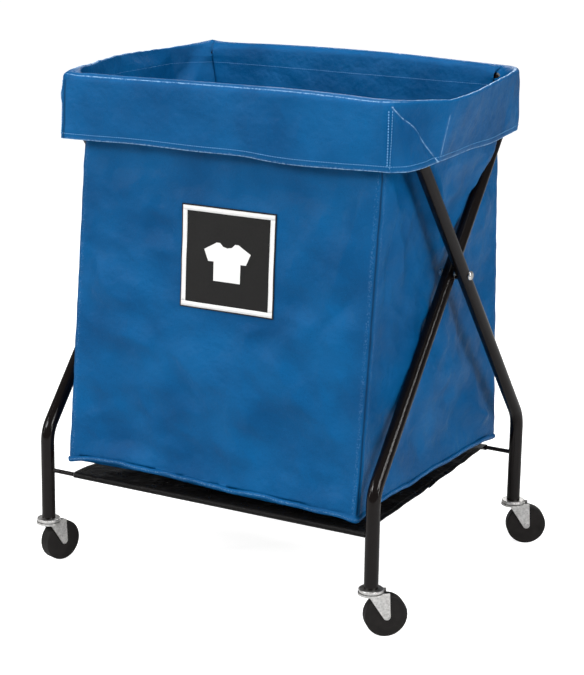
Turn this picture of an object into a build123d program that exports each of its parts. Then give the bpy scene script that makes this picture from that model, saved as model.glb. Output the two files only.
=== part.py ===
from build123d import *
import os
from math import atan2, degrees

# Folding X-frame laundry cart: two identical bent-tube frames cross at a pivot on each side, a coated
# fabric bag hangs over their top rails, and a sling between two lower rods carries the bag's floor.
# The frames are the same part, one turned half a turn about the cart's vertical centre line.
# Origin: floor level, midway between the feet. +X to the right, +Y to the rear, +Z up. Millimetres.

os.makedirs("parts", exist_ok=True)

# Frame
TUBE_DIAMETER = 25.4
TUBE_WALL = 1.6
LEG_SPACING = 684.0  # centre to centre, within one frame
LEG_GAP = 1.6  # between the crossing legs of the two frames
FOOT_Y = 280.0
FOOT_Z = 87.6  # lower end of the tube
LOWER_BEND_Z = 258.4
LOWER_BEND_RADIUS = 60.0
PIVOT_Z = 593.3
RAIL_Y = 273.4
RAIL_BEND_RADIUS = 75.0

# Shelf
ROD_DIAMETER = 8.0
ROD_Z = 183.4
SLING_THICKNESS = 1.8
SLING_FRONT_X = (-294.0, 314.0)
SLING_CLEARANCE = 0.4

# Bag
FABRIC = 2.0
RAIL_CLEARANCE = 0.4
BAG_FLOOR_Z = 196.0
BAG_FLOOR_SIZE = (612.0, 566.0)
BAG_SEAM_HEIGHT = 5.0  # the walls stand straight on the floor for this far
BAG_NECK_Z = 800.0
BAG_NECK_SIZE = (606.0, 518.0)
BAG_CORNER_RADIUS = 22.0
MOUTH_CORNER_RADIUS = 62.0
MOUTH_LEG_CLEARANCE = 1.5
CUFF_HEIGHT = 117.0
NEAR_CUFF_MARGIN = 3.8  # from the near legs' outer side to the cuff's corner
NEAR_CUFF_RADIUS = 70.0
FAR_CUFF_MARGIN = 14.8  # from the far legs' outer side to the cuff's corner
FAR_CUFF_RADIUS = 55.0
CUFF_BULGE_X = 394.0
CUFF_BULGE_Y = -150.0
CUFF_BULGE_RADIUS = 180.0
LABEL_SIZE = (190.0, 184.0)
LABEL_THICKNESS = 1.0
LABEL_X = 35.6
LABEL_Z = 632.0

# Pivot bolts
BOLT_DIAMETER = 8.0
BOLT_HEAD_DIAMETER = 17.0
BOLT_HEAD_HEIGHT = 4.5
BOLT_HEAD_ROUND = 3.6
BOLT_CHAMFER = 0.8
BOLT_TAIL = 1.0  # of bolt standing past the nut
NUT_ACROSS_FLATS = 13.0
NUT_HEIGHT = 5.2
WASHER_DIAMETER = 20.0
WASHER_THICKNESS = 1.0
PIVOT_CLEARANCE = 0.3
HOLE_CLEARANCE = 0.06  # radial, on every pin in a hole

# Casters, in their own frame: stem axis on Z, floor at 0, wheel trailing along +X
WHEEL_DIAMETER = 76.2
WHEEL_WIDTH = 22.4
WHEEL_EDGE = 2.5
CASTER_TRAIL = 26.3
BUSH_DIAMETER = 14.0
BUSH_LENGTH = 24.2
AXLE_DIAMETER = 7.9
AXLE_HEAD_DIAMETER = 11.0
AXLE_HEAD_HEIGHT = 2.0
PLATE_INSIDE = 12.4  # from the wheel's mid-plane to a fork plate
PLATE_THICKNESS = 2.2
PLATE_END_RADIUS = 6.5
PLATE_TOP = (-8.0, 30.5)
CROWN_RADIUS = 23.0
CROWN_Z = (78.6, 81.2)
CROWN_LIP_Z = 77.3
CROWN_LIP = 1.8
RACE_RADIUS = 22.0
RACE_WALL = 1.6
RACE_EDGE = 1.2
RACE_Z = 82.4
STEM_DIAMETER = 11.0
STEM_TOP_Z = 118.0
STEM_CHAMFER = 1.0
STEM_HEAD_RADIUS = 7.5
STEM_HEAD_Z = (76.6, 78.2)
SOCKET_TOP_Z = 122.0
BALL_DIAMETER = 4.2
BALL_CLEARANCE = 0.02
BALL_COUNT = 12
BALL_CIRCLE_RADIUS = 15.5

# The way each wheel trails from its stem, in degrees from +X towards +Y
CASTER_HEADINGS = {"front_left": 74.0, "front_right": 41.0, "rear_left": 58.0, "rear_right": 31.0}

# Worked out from the driving dimensions
FRAME_SHIFT = (TUBE_DIAMETER + LEG_GAP) / 2
NEAR_LEG_X = LEG_SPACING / 2 - FRAME_SHIFT
FAR_LEG_X = LEG_SPACING / 2 + FRAME_SHIFT
TUBE_RADIUS = TUBE_DIAMETER / 2
LEG_SLOPE = (PIVOT_Z - LOWER_BEND_Z) / FOOT_Y
RAIL_Z = PIVOT_Z + LEG_SLOPE * RAIL_Y
HALF_TURN = Location((0, 0, 0), (0, 0, 180))
ALONG_X = (0, 90, 0)
ALONG_Y = (90, 0, 0)
RIM_UNDERSIDE_Z = RAIL_Z + TUBE_RADIUS + RAIL_CLEARANCE
RIM_Z = RIM_UNDERSIDE_Z + FABRIC
HEM_Z = RIM_Z - CUFF_HEIGHT
CUFF_Y = RAIL_Y + TUBE_RADIUS + RAIL_CLEARANCE + FABRIC
MOUTH_Y = RAIL_Y - TUBE_RADIUS - RAIL_CLEARANCE
WHEEL_Z = WHEEL_DIAMETER / 2

pieces = {}


# --- Bent-tube frame: one length of tube from foot to foot, over the top rail ---

# This is the frame with its feet at the front: its legs stand at -FAR_LEG_X and +NEAR_LEG_X.
foot_right = (NEAR_LEG_X, -FOOT_Y, FOOT_Z)
tube_points = [
    foot_right,
    (NEAR_LEG_X, -FOOT_Y, LOWER_BEND_Z),
    (NEAR_LEG_X, RAIL_Y, RAIL_Z),
    (-FAR_LEG_X, RAIL_Y, RAIL_Z),
    (-FAR_LEG_X, -FOOT_Y, LOWER_BEND_Z),
    (-FAR_LEG_X, -FOOT_Y, FOOT_Z),
]
bend_radii = [LOWER_BEND_RADIUS, RAIL_BEND_RADIUS, RAIL_BEND_RADIUS, LOWER_BEND_RADIUS]
rod_left_x = -FAR_LEG_X + TUBE_RADIUS - TUBE_WALL
rod_right_x = NEAR_LEG_X - TUBE_RADIUS + TUBE_WALL
rod_middle_x = (rod_left_x + rod_right_x) / 2
rod_hole_radius = ROD_DIAMETER / 2 + HOLE_CLEARANCE
bolt_hole_radius = BOLT_DIAMETER / 2 + HOLE_CLEARANCE

with BuildPart() as frame_tube:
    with BuildLine() as tube_path:
        FilletPolyline(*tube_points, radius=bend_radii)
    with BuildSketch(Plane(origin=foot_right, z_dir=(0, 0, 1))):
        Circle(TUBE_RADIUS)
    sweep(path=tube_path.line)
    with BuildSketch(Plane(origin=foot_right, z_dir=(0, 0, 1))):
        Circle(TUBE_RADIUS - TUBE_WALL)
    sweep(path=tube_path.line, mode=Mode.SUBTRACT)
    with Locations((NEAR_LEG_X, 0, PIVOT_Z), (-FAR_LEG_X, 0, PIVOT_Z)):
        Cylinder(bolt_hole_radius, 2 * TUBE_DIAMETER, rotation=ALONG_X, mode=Mode.SUBTRACT)
    with Locations((rod_middle_x, -FOOT_Y, ROD_Z)):
        Cylinder(rod_hole_radius, rod_right_x - rod_left_x, rotation=ALONG_X, mode=Mode.SUBTRACT)

# --- Shelf rod, welded between the feet of one frame ---

with BuildPart() as shelf_rod:
    with Locations((rod_middle_x, -FOOT_Y, ROD_Z)):
        Cylinder(ROD_DIAMETER / 2, rod_right_x - rod_left_x, rotation=ALONG_X)

for side, place in (("front", Location()), ("rear", HALF_TURN)):
    pieces[f"{side}_foot_frame"] = frame_tube.part.moved(place)
    pieces[f"{side}_shelf_rod"] = shelf_rod.part.moved(place)


# --- Pivot hardware on the right side: bolt head outside, nut inside, washer between the legs ---

head_x = FAR_LEG_X + TUBE_RADIUS + PIVOT_CLEARANCE
nut_x = NEAR_LEG_X - TUBE_RADIUS - PIVOT_CLEARANCE
bolt_end_x = nut_x - NUT_HEIGHT - BOLT_TAIL
washer_x = LEG_SPACING / 2 - WASHER_THICKNESS / 2

with BuildPart() as pivot_bolt:
    with BuildSketch(Plane(origin=(bolt_end_x, 0, PIVOT_Z), z_dir=(1, 0, 0))):
        Circle(BOLT_DIAMETER / 2)
    extrude(amount=head_x - bolt_end_x)
    chamfer(pivot_bolt.faces().sort_by(Axis.X)[0].edges(), BOLT_CHAMFER)
    with BuildSketch(Plane(origin=(head_x, 0, PIVOT_Z), z_dir=(1, 0, 0))):
        Circle(BOLT_HEAD_DIAMETER / 2)
    extrude(amount=BOLT_HEAD_HEIGHT)
    fillet(pivot_bolt.faces().sort_by(Axis.X)[-1].edges(), BOLT_HEAD_ROUND)

with BuildPart() as pivot_washer:
    with BuildSketch(Plane(origin=(washer_x, 0, PIVOT_Z), z_dir=(1, 0, 0))):
        Circle(WASHER_DIAMETER / 2)
        Circle(bolt_hole_radius, mode=Mode.SUBTRACT)
    extrude(amount=WASHER_THICKNESS)

with BuildPart() as pivot_nut:
    with BuildSketch(Plane(origin=(nut_x, 0, PIVOT_Z), z_dir=(-1, 0, 0))):
        RegularPolygon(NUT_ACROSS_FLATS / 2, 6, major_radius=False)
        Circle(bolt_hole_radius, mode=Mode.SUBTRACT)
    extrude(amount=NUT_HEIGHT)

for side, place in (("right", Location()), ("left", HALF_TURN)):
    pieces[f"pivot_bolt_{side}"] = pivot_bolt.part.moved(place)
    pieces[f"pivot_washer_{side}"] = pivot_washer.part.moved(place)
    pieces[f"pivot_nut_{side}"] = pivot_nut.part.moved(place)


# --- Shelf sling: one sheet with a sewn sleeve round each rod ---

sleeve_inside = ROD_DIAMETER / 2 + SLING_CLEARANCE
sleeve_outside = sleeve_inside + SLING_THICKNESS
# The front rod's middle is to the left and the rear rod's to the right, so the ends of the sling lean.
edge_lean = degrees(atan2(SLING_FRONT_X[1] + SLING_FRONT_X[0], 2 * FOOT_Y))

with BuildPart() as shelf_sling:
    with BuildSketch(Plane.YZ.offset(-LEG_SPACING / 2)):
        with Locations((-FOOT_Y, ROD_Z), (FOOT_Y, ROD_Z)):
            Circle(sleeve_outside)
        with Locations((0, ROD_Z + sleeve_inside + SLING_THICKNESS / 2)):
            Rectangle(2 * FOOT_Y, SLING_THICKNESS)
        with Locations((-FOOT_Y, ROD_Z), (FOOT_Y, ROD_Z)):
            Circle(sleeve_inside, mode=Mode.SUBTRACT)
    extrude(amount=LEG_SPACING)
    for end_x, outward in zip(SLING_FRONT_X, (-1, 1)):
        end_normal = Vector(outward, 0).rotate(Axis.Z, edge_lean)
        split(bisect_by=Plane(origin=(end_x, -FOOT_Y, 0), z_dir=end_normal), keep=Keep.BOTTOM)

pieces["shelf_sling"] = shelf_sling.part


# --- Bag: tapered body, mouth opened out to the rim, and a cuff folded down outside the rails ---

def cuff_outline(inset):
    """The cuff's outline from above, the same after half a turn. Its sides bulge past the frames' legs."""
    near_x = NEAR_LEG_X + TUBE_RADIUS + NEAR_CUFF_MARGIN
    far_x = FAR_LEG_X + TUBE_RADIUS + FAR_CUFF_MARGIN
    half = [(-near_x, -CUFF_Y), (far_x, -CUFF_Y), (CUFF_BULGE_X, CUFF_BULGE_Y)]
    corners = half + [(-x, -y) for x, y in half]
    radii = [NEAR_CUFF_RADIUS, FAR_CUFF_RADIUS, CUFF_BULGE_RADIUS] * 2
    with BuildSketch() as outline:
        with BuildLine():
            FilletPolyline(*corners, radius=radii, close=True)
        make_face()
        if inset:
            offset(amount=-inset, mode=Mode.REPLACE)
    return outline.sketch


def mouth_outline(inset):
    """The body's outline just under the rim, inside both frames' legs, the same after half a turn."""
    near_x = NEAR_LEG_X - TUBE_RADIUS - MOUTH_LEG_CLEARANCE
    far_x = FAR_LEG_X - TUBE_RADIUS - MOUTH_LEG_CLEARANCE
    corners = [(-near_x, -MOUTH_Y), (far_x, -MOUTH_Y), (near_x, MOUTH_Y), (-far_x, MOUTH_Y)]
    with BuildSketch() as outline:
        with BuildLine():
            FilletPolyline(*corners, radius=MOUTH_CORNER_RADIUS, close=True)
        make_face()
        if inset:
            offset(amount=-inset, mode=Mode.REPLACE)
    return outline.sketch


def body_outline(size, inset):
    """The body's outline at its floor or its neck."""
    with BuildSketch() as outline:
        RectangleRounded(size[0] - 2 * inset, size[1] - 2 * inset, BAG_CORNER_RADIUS - inset)
    return outline.sketch


def tapered_body(inset, floor_z):
    """The body from its floor through its neck to the rim, drawn in by inset."""
    with BuildPart() as body:
        with BuildSketch(Plane.XY.offset(floor_z)):
            add(body_outline(BAG_FLOOR_SIZE, inset))
        extrude(amount=BAG_SEAM_HEIGHT)
        with BuildSketch(Plane.XY.offset(floor_z + BAG_SEAM_HEIGHT)):
            add(body_outline(BAG_FLOOR_SIZE, inset))
        with BuildSketch(Plane.XY.offset(BAG_NECK_Z)):
            add(body_outline(BAG_NECK_SIZE, inset))
        loft()
        with BuildSketch(Plane.XY.offset(BAG_NECK_Z)):
            add(body_outline(BAG_NECK_SIZE, inset))
        with BuildSketch(Plane.XY.offset(RIM_Z)):
            add(mouth_outline(inset))
        loft()
    return body.part


bag_outside = tapered_body(0, BAG_FLOOR_Z)
bag_inside = tapered_body(FABRIC, BAG_FLOOR_Z + FABRIC)

with BuildPart() as laundry_bag:
    with BuildSketch(Plane.XY.offset(HEM_Z)):
        add(cuff_outline(0))
        add(cuff_outline(FABRIC), mode=Mode.SUBTRACT)
    extrude(amount=RIM_UNDERSIDE_Z - HEM_Z)
    with BuildSketch(Plane.XY.offset(RIM_UNDERSIDE_Z)):
        add(cuff_outline(0))
    extrude(amount=FABRIC)
    add(bag_outside)
    add(bag_inside, mode=Mode.SUBTRACT)

pieces["laundry_bag"] = laundry_bag.part


# --- Label patch, sewn flat on the bag's front wall ---

wall_foot_z = BAG_FLOOR_Z + BAG_SEAM_HEIGHT
wall_lean = (BAG_FLOOR_SIZE[1] - BAG_NECK_SIZE[1]) / 2 / (BAG_NECK_Z - wall_foot_z)
label_y = -BAG_FLOOR_SIZE[1] / 2 + wall_lean * (LABEL_Z - wall_foot_z)

with BuildPart() as label_patch:
    with BuildSketch(Plane(origin=(LABEL_X, label_y, LABEL_Z), x_dir=(1, 0, 0), z_dir=(0, -1, wall_lean))):
        Rectangle(*LABEL_SIZE)
    extrude(amount=LABEL_THICKNESS)

pieces["label_patch"] = label_patch.part


# --- Caster, once, in its own frame ---

def side_plane(distance):
    """A plane across the wheel's axis: X is the trail, Y is up, and its normal is -Y."""
    return Plane.XZ.offset(distance)


with BuildPart() as caster_wheel:
    with Locations((CASTER_TRAIL, 0, WHEEL_Z)):
        Cylinder(WHEEL_DIAMETER / 2, WHEEL_WIDTH, rotation=ALONG_Y)
    fillet(caster_wheel.edges().filter_by(GeomType.CIRCLE), WHEEL_EDGE)
    with Locations((CASTER_TRAIL, 0, WHEEL_Z)):
        Cylinder(BUSH_DIAMETER / 2, WHEEL_WIDTH, rotation=ALONG_Y, mode=Mode.SUBTRACT)

with BuildPart() as caster_bush:
    with BuildSketch(side_plane(-BUSH_LENGTH / 2)):
        with Locations((CASTER_TRAIL, WHEEL_Z)):
            Circle(BUSH_DIAMETER / 2)
            Circle(AXLE_DIAMETER / 2 + HOLE_CLEARANCE, mode=Mode.SUBTRACT)
    extrude(amount=BUSH_LENGTH)

with BuildPart() as caster_axle:
    plate_outside = PLATE_INSIDE + PLATE_THICKNESS
    with BuildSketch(side_plane(-plate_outside)):
        with Locations((CASTER_TRAIL, WHEEL_Z)):
            Circle(AXLE_DIAMETER / 2)
    extrude(amount=2 * plate_outside)
    for head_side in (-1, 1):
        with BuildSketch(side_plane(head_side * plate_outside)):
            with Locations((CASTER_TRAIL, WHEEL_Z)):
                Circle(AXLE_HEAD_DIAMETER / 2)
        extrude(amount=head_side * AXLE_HEAD_HEIGHT)
    chamfer(caster_axle.faces().sort_by(Axis.Y)[0].edges(), AXLE_HEAD_HEIGHT / 2)
    chamfer(caster_axle.faces().sort_by(Axis.Y)[-1].edges(), AXLE_HEAD_HEIGHT / 2)

with BuildPart() as caster_yoke:
    with BuildSketch(Plane.XY.offset(CROWN_Z[0])):
        Circle(CROWN_RADIUS)
    extrude(amount=CROWN_Z[1] - CROWN_Z[0])
    with BuildSketch(Plane.XY.offset(CROWN_LIP_Z)):
        Circle(CROWN_RADIUS)
        Circle(CROWN_RADIUS - CROWN_LIP, mode=Mode.SUBTRACT)
    extrude(amount=CROWN_Z[0] - CROWN_LIP_Z)
    for plate_y in (-PLATE_INSIDE - PLATE_THICKNESS, PLATE_INSIDE):
        with BuildSketch(side_plane(plate_y)):
            with Locations((CASTER_TRAIL, WHEEL_Z)):
                Circle(PLATE_END_RADIUS)
            with Locations(((PLATE_TOP[0] + PLATE_TOP[1]) / 2, (CROWN_Z[0] + CROWN_Z[1]) / 2)):
                Rectangle(PLATE_TOP[1] - PLATE_TOP[0], CROWN_Z[1] - CROWN_Z[0])
            make_hull()
            with Locations((CASTER_TRAIL, WHEEL_Z)):
                Circle(AXLE_DIAMETER / 2 + HOLE_CLEARANCE, mode=Mode.SUBTRACT)
        extrude(amount=PLATE_THICKNESS)
    with BuildSketch(Plane.XY.offset(CROWN_Z[0])):
        Circle(STEM_DIAMETER / 2 + HOLE_CLEARANCE)
    extrude(amount=CROWN_Z[1] - CROWN_Z[0], mode=Mode.SUBTRACT)

with BuildPart() as caster_balls:
    with PolarLocations(BALL_CIRCLE_RADIUS, BALL_COUNT):
        with Locations((0, 0, CROWN_Z[1] + BALL_DIAMETER / 2 + BALL_CLEARANCE)):
            Sphere(BALL_DIAMETER / 2)

with BuildPart() as caster_stem:
    with BuildSketch(Plane.XY.offset(STEM_HEAD_Z[0])):
        Circle(STEM_HEAD_RADIUS)
    extrude(amount=STEM_HEAD_Z[1] - STEM_HEAD_Z[0])
    with BuildSketch(Plane.XY.offset(STEM_HEAD_Z[1])):
        Circle(STEM_DIAMETER / 2)
    extrude(amount=STEM_TOP_Z - STEM_HEAD_Z[1])
    with BuildSketch(Plane.XY.offset(RACE_Z)):
        Circle(RACE_RADIUS)
        Circle(RACE_RADIUS - RACE_WALL, mode=Mode.SUBTRACT)
    extrude(amount=FOOT_Z - RACE_Z)
    with BuildSketch(Plane.XY.offset(FOOT_Z - RACE_WALL)):
        Circle(RACE_RADIUS)
    extrude(amount=RACE_WALL)
    race_top_edges = caster_stem.edges().filter_by(GeomType.CIRCLE).group_by(Axis.Z)[-2]
    fillet(race_top_edges.sort_by(SortBy.RADIUS)[-1], RACE_EDGE)
    chamfer(caster_stem.faces().sort_by(Axis.Z)[-1].edges(), STEM_CHAMFER)

with BuildPart() as caster_socket:
    with BuildSketch(Plane.XY.offset(FOOT_Z)):
        Circle(TUBE_RADIUS - TUBE_WALL)
        Circle(STEM_DIAMETER / 2, mode=Mode.SUBTRACT)
    extrude(amount=SOCKET_TOP_Z - FOOT_Z)

caster = {
    "caster_wheel": caster_wheel,
    "caster_bush": caster_bush,
    "caster_axle": caster_axle,
    "caster_yoke": caster_yoke,
    "caster_balls": caster_balls,
    "caster_stem": caster_stem,
    "caster_socket": caster_socket,
}
feet = {
    "front_left": (-FAR_LEG_X, -FOOT_Y),
    "front_right": (NEAR_LEG_X, -FOOT_Y),
    "rear_left": (-NEAR_LEG_X, FOOT_Y),
    "rear_right": (FAR_LEG_X, FOOT_Y),
}
for corner, (foot_x, foot_y) in feet.items():
    place = Location((foot_x, foot_y, 0), (0, 0, CASTER_HEADINGS[corner]))
    for name, piece in caster.items():
        pieces[f"{name}_{corner}"] = piece.part.moved(place)


for name, piece in pieces.items():
    piece.label = name
    export_step(piece, f"parts/{name}.step")
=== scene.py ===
import math

import bpy
import numpy as np
from mathutils import Matrix, Vector, noise


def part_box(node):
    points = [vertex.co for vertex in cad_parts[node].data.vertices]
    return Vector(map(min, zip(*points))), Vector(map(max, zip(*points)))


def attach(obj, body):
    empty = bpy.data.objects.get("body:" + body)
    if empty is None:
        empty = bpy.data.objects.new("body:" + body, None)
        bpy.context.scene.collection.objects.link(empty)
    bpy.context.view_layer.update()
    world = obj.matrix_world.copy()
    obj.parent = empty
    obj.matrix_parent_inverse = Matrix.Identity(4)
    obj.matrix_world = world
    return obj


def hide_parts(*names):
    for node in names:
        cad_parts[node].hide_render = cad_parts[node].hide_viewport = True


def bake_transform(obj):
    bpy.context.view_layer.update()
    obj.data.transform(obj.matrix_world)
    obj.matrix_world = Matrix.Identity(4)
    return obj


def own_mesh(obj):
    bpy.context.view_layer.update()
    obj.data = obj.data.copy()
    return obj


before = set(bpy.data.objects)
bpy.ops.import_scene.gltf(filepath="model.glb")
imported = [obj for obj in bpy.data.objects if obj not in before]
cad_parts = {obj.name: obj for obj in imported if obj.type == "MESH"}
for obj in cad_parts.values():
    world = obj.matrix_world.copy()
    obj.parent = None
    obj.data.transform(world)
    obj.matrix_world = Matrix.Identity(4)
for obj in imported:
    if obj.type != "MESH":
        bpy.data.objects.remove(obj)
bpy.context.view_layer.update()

# Shapes are laid out in millimetres and turned into metres as each mesh is made.
MM = 0.001
TURN = np.array([-1.0, -1.0, 1.0])  # half a turn about the vertical axis

# ---- places taken from the CAD frame
def box_mm(node):
    return [np.array(v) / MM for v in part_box(node)]


front_high = box_mm("front_foot_frame")[1]
rear_high = box_mm("rear_foot_frame")[1]
bag_low = box_mm("laundry_bag")[0]
label_low, label_high = box_mm("label_patch")
rod_low, rod_high = box_mm("front_shelf_rod")
sling_high = box_mm("shelf_sling")[1]

TUBE_R = 12.7
BEND_R = 75.0
near_x = front_high[0] - TUBE_R  # the leg on this side that leans towards the same side's rail
far_x = rear_high[0] - TUBE_R
rail_y = front_high[1] - TUBE_R
rail_z = front_high[2] - TUBE_R
bolt_low, bolt_high = box_mm("pivot_bolt_right")
pivot_z = (bolt_low[2] + bolt_high[2]) / 2
leg_rise = (rail_z - pivot_z) / rail_y

FLOOR_Z = bag_low[2]
NECK_Z = 800.0
HEM_Z = 818.5
LINER_FOOT_Z = 822.0
BODY_TOP_Z = 910.0
FABRIC_GAP = 1.3


# ---- small maths
def smooth(x):
    x = np.clip(x, 0.0, 1.0)
    return x * x * (3.0 - 2.0 * x)


def mix(a, b, t):
    return a * (1.0 - t) + b * t


def curve_through(knots, values, at):
    """Cubic curve through values at knots, read at the numbers in at."""
    knots = np.array(knots, float)
    values = np.array(values, float)
    if values.ndim == 1:
        values = values[:, None]
    slope = np.diff(values, axis=0) / np.diff(knots)[:, None]
    tangent = np.vstack([slope[:1], 0.5 * (slope[1:] + slope[:-1]), slope[-1:]])
    at = np.atleast_1d(np.array(at, float))
    k = np.clip(np.searchsorted(knots, at, side="right") - 1, 0, len(knots) - 2)
    h = (knots[k + 1] - knots[k])[:, None]
    t = ((at - knots[k]) / (knots[k + 1] - knots[k]))[:, None]
    t2, t3 = t * t, t * t * t
    return (
        (2 * t3 - 3 * t2 + 1) * values[k]
        + (t3 - 2 * t2 + t) * h * tangent[k]
        + (3 * t2 - 2 * t3) * values[k + 1]
        + (t3 - t2) * h * tangent[k + 1]
    )


def unit(v):
    return v / np.maximum(np.linalg.norm(v, axis=-1, keepdims=True), 1e-9)


def blur(a, passes, closed):
    """Averages each column with its neighbours, along axis 0."""
    for _ in range(passes):
        if closed:
            before, after = np.roll(a, 1, 0), np.roll(a, -1, 0)
        else:
            before, after = np.vstack([a[:1], a[:-1]]), np.vstack([a[1:], a[-1:]])
        a = 0.25 * before + 0.5 * a + 0.25 * after
    return a


def field(points, size, seed, rough=0.5, octaves=3):
    """Smooth noise in -1..1 at points, with features about size mm across."""
    out = np.zeros(len(points))
    for i, p in enumerate(points):
        v = Vector(p) / size + Vector((seed * 7.31, seed * 3.17, seed * 5.73))
        total, gain, scale = 0.0, 1.0, 1.0
        for _ in range(octaves):
            total += gain * noise.noise(v * scale)
            gain *= rough
            scale *= 2.03
        out[i] = total
    return out


def facets(points, size, seed):
    """Crumpled facets: the distance to the nearest of scattered centres, 0 to about 1."""
    out = np.zeros(len(points))
    for i, p in enumerate(points):
        d, _ = noise.voronoi(Vector(p) / size + Vector((seed * 3.7, seed * 9.1, seed * 1.9)))
        out[i] = min(d[1] - d[0], 1.0)
    return out


# ---- the tubes that the fabric passes
def tube_line(left_x, right_x, side):
    """Centre line of one frame above the pivot: up a leg, along the rail and down the other leg."""
    down = np.array([0.0, -side / math.hypot(1, leg_rise), -leg_rise / math.hypot(1, leg_rise)])
    line = []
    for x, inward in ((right_x, -1.0), (left_x, 1.0)):
        corner = np.array([x, side * rail_y, rail_z])
        across = np.array([inward, 0.0, 0.0])
        leg = [corner + down * d for d in np.arange(rail_y * math.hypot(1, leg_rise), BEND_R, -4.0)]
        hub = corner + (down + across) * BEND_R
        bend = []
        for a in np.linspace(0, math.pi / 2, 30):
            bend.append(hub - across * BEND_R * math.cos(a) - down * BEND_R * math.sin(a))
        line.append(leg + bend)
    first, second = line
    a, b = first[-1], second[-1]
    rail = [mix(a, b, t) for t in np.linspace(0, 1, 140)]
    return np.array(first + rail + second[::-1])


TUBES = np.vstack([tube_line(-near_x, far_x, -1.0), tube_line(-far_x, near_x, 1.0)])


def clear_of_tubes(points, push, gap):
    """How far each point moves along its unit vector in push to lie gap outside the tubes."""
    reach = np.zeros(len(points))
    for _ in range(3):
        now = points + push * reach[:, None]
        nearest = np.zeros(len(points), int)
        for start in range(0, len(points), 4000):
            part = now[start : start + 4000]
            d = ((part[:, None, :] - TUBES[None]) ** 2).sum(2)
            nearest[start : start + 4000] = d.argmin(1)
        q = now - TUBES[nearest]
        r = TUBE_R + gap
        along = (q * push).sum(1)
        inside = r * r - (q * q).sum(1)
        need = -along + np.sqrt(np.maximum(along * along + inside, 0.0))
        reach += np.where(inside > 0, np.maximum(need, 0.0), 0.0)
    return reach


# ---- the bag's outline, as columns
# Each side of the mouth runs anticlockwise seen from above. A station is (place along the side,
# crest, fold radius, hem).
FRONT = [
    (0.00, (-299.0, -276.0, 934.0), 10.0, (-307.5, -288.8, 816.5)),
    (0.06, (-267.0, -273.4, 932.5), 13.0, (-266.0, -288.5, 817.0)),
    (0.24, (-150.0, -273.4, 935.0), 14.0, (-150.0, -289.5, 820.0)),
    (0.43, (-24.0, -273.4, 937.0), 14.0, (-24.0, -288.5, 818.5)),
    (0.57, (70.0, -273.4, 938.0), 14.0, (70.0, -290.5, 819.5)),
    (0.70, (150.0, -273.4, 938.8), 14.0, (150.0, -288.0, 814.0)),
    (0.85, (250.0, -273.4, 937.0), 14.0, (252.0, -287.5, 815.5)),
    (0.95, (313.0, -274.0, 935.0), 13.5, (318.0, -288.5, 818.0)),
    (1.00, (337.0, -277.0, 936.0), 12.0, (346.0, -288.5, 818.5)),
]
BACK = [
    (0.00, (308.0, 280.0, 933.5), 10.0, (312.0, 288.5, 818.0)),
    (0.10, (250.0, 273.4, 936.0), 13.5, (250.0, 288.5, 819.0)),
    (0.35, (90.0, 273.4, 941.0), 14.0, (90.0, 289.5, 816.0)),
    (0.60, (-60.0, 273.4, 942.0), 14.0, (-60.0, 288.0, 819.5)),
    (0.80, (-190.0, 273.4, 940.0), 14.0, (-190.0, 289.5, 816.0)),
    (0.95, (-313.0, 274.0, 937.0), 13.5, (-318.0, 288.5, 818.0)),
    (1.00, (-341.0, 281.0, 938.5), 12.0, (-346.0, 288.5, 818.5)),
]
FOLD_END = 0.25  # place along a side where the corner's diagonal fold meets the hem
FOLD_COLUMNS = 24
RIGHT = [
    (0.00, (337.0, -277.0, 936.0), 12.0, (346.0, -288.5, 818.5)),
    (0.07, (352.0, -243.0, 933.0), 9.0, (366.5, -262.0, 818.0)),
    (0.15, (370.0, -203.0, 930.0), 6.0, (371.0, -212.0, 817.5)),
    (0.25, (390.0, -157.0, 927.0), 3.5, (370.5, -152.0, 819.0)),
    (0.37, (394.0, -75.0, 929.5), 3.5, (364.0, -74.0, 818.0)),
    (0.50, (384.0, 0.0, 931.0), 3.5, (362.0, 0.0, 819.5)),
    (0.65, (371.0, 90.0, 932.5), 3.5, (359.5, 92.0, 817.5)),
    (0.80, (354.0, 180.0, 933.0), 4.0, (351.0, 182.0, 819.0)),
    (0.90, (341.0, 232.0, 933.5), 6.0, (342.0, 236.0, 818.0)),
    (0.96, (327.0, 262.0, 934.0), 8.5, (332.0, 272.0, 817.5)),
    (1.00, (308.0, 280.0, 933.5), 10.0, (312.0, 288.5, 818.0)),
]
LEFT = [
    (0.00, (-341.0, 281.0, 938.5), 12.0, (-346.0, 288.5, 818.5)),
    (0.07, (-352.0, 243.0, 933.0), 9.0, (-366.5, 262.0, 818.0)),
    (0.15, (-370.0, 203.0, 930.0), 6.0, (-371.0, 212.0, 817.5)),
    (0.25, (-390.0, 157.0, 927.0), 3.5, (-370.5, 152.0, 819.0)),
    (0.37, (-394.0, 75.0, 929.0), 3.5, (-364.0, 74.0, 819.5)),
    (0.50, (-383.0, 0.0, 930.5), 3.5, (-362.0, 0.0, 817.5)),
    (0.65, (-366.0, -78.0, 930.0), 3.5, (-359.0, -88.0, 819.0)),
    (0.80, (-343.0, -142.0, 932.0), 4.0, (-351.0, -160.0, 818.0)),
    (0.90, (-323.0, -210.0, 934.5), 5.0, (-344.0, -212.0, 819.0)),
    (0.96, (-308.0, -253.0, 935.0), 8.0, (-321.0, -262.0, 817.5)),
    (1.00, (-299.0, -276.0, 934.0), 10.0, (-307.5, -288.8, 816.5)),
]
NECK = {"fl": (-284.0, -258.0), "fr": (320.0, -258.0), "br": (304.0, 259.0), "bl": (-320.0, 258.0)}
FOOT = {"fl": (-306.0, -284.0), "fr": (300.0, -284.0), "br": (310.0, 282.0), "bl": (-306.0, 283.0)}
SIDES = [
    ("front", FRONT, "fl", "fr", 124),
    ("right", RIGHT, "fr", "br", None),
    ("back", BACK, "br", "bl", 124),
    ("left", LEFT, "bl", "fl", None),
]


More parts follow.
